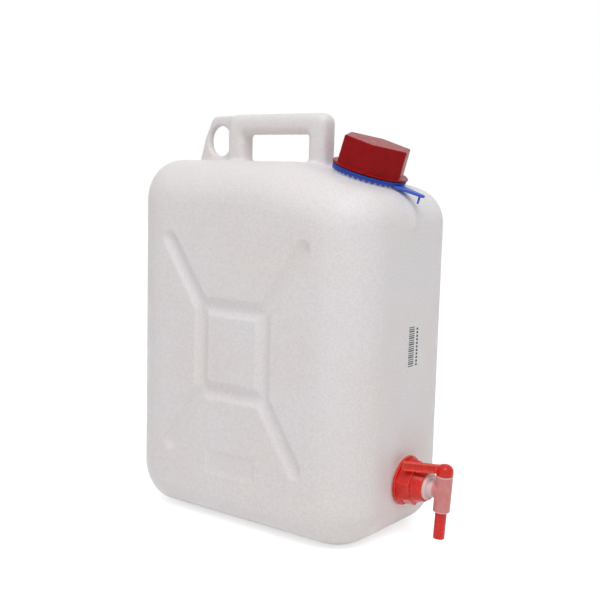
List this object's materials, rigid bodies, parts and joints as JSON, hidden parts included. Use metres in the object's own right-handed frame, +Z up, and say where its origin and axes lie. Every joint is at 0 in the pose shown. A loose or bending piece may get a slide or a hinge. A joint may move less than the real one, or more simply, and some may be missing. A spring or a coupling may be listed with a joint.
{
  "type": "carboy with spigot",
  "caption": "Rectangular blow-moulded plastic carboy with a tubular top grip, hanging hole, six-sided screw cap with tamper ring, and a turning lever tap low on one end.",
  "frame": {"origin": "centre of the flat base, where the carboy stands", "axes": "+X towards the tap end, -Y the front face seen in the picture, +Z up"},
  "size_m": [0.2953, 0.16, 0.3563],
  "materials": {
    "natural_plastic": "milky natural polyethylene, satin",
    "cap_red": "dark red moulded polyethylene, satin",
    "ring_blue": "blue moulded polyethylene, satin",
    "tap_red": "bright red moulded plastic, soft gloss",
    "tap_clear_red": "translucent natural plastic tinted by the red plug inside",
    "seal_white": "soft white foam and rubber seal",
    "label_paper": "thin white film sticker with plain dark bars"
  },
  "bodies": {
    "container": {"container": "natural_plastic", "tamper_ring": "ring_blue", "tap_nut": "tap_red", "tap_washer": "seal_white", "tap_body": "tap_clear_red", "label": "label_paper"},
    "liner": {"cap_liner": "seal_white"},
    "cap": {"screw_cap": "cap_red"},
    "plug": {"tap_plug": "tap_red"}
  },
  "joints": [
    {"name": "cap_lift", "type": "slide", "parent": "container", "child": "liner", "axis": [0.2924, 0, 0.9563], "range_m": [0, 0.01]},
    {"name": "cap_turn", "type": "hinge", "parent": "liner", "child": "cap", "pos_m": [0.0782, 0, 0.30096], "axis": [0.2924, 0, 0.9563], "range_deg": [0, 720]},
    {"name": "tap_turn", "type": "hinge", "parent": "container", "child": "plug", "pos_m": [0.16234, 0, 0.04979], "axis": [0.0584, 0, 0.9983], "range_deg": [0, 90]}
  ],
  "couplings": [
    {"joint": "cap_lift", "follows": "cap_turn", "m_per_rad": 0.00079577}
  ]
}
